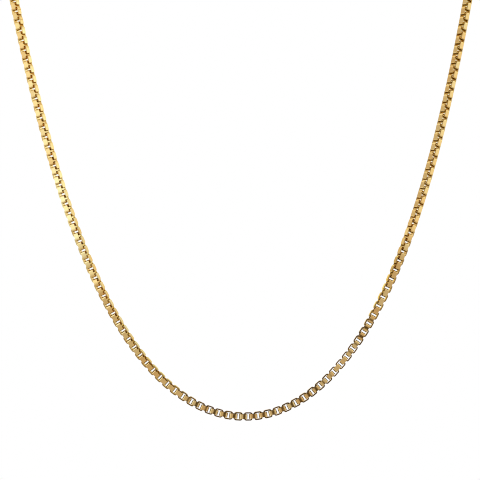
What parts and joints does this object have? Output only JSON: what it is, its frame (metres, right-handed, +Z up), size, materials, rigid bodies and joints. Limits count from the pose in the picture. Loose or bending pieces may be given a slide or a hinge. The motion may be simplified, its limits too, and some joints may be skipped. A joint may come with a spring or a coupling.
{
  "type": "box chain necklace",
  "caption": "Polished gold box chain necklace of interlocking square strip links, hanging in its worn loop and closed at the nape by a plain barrel clasp.",
  "frame": {"origin": "the neck's side of the clasp, at the middle of the nape, where the necklace sits and hangs from", "axes": "+X to the right seen from the front, +Y from the throat to the nape, +Z up"},
  "size_m": [0.1184, 0.0544, 0.1392],
  "materials": {
    "chain_gold": "polished",
    "clasp_gold": "polished"
  },
  "bodies": {
    "root": {"chain_front": "chain_gold", "chain_back": "chain_gold", "clasp": "clasp_gold"}
  },
  "joints": []
}
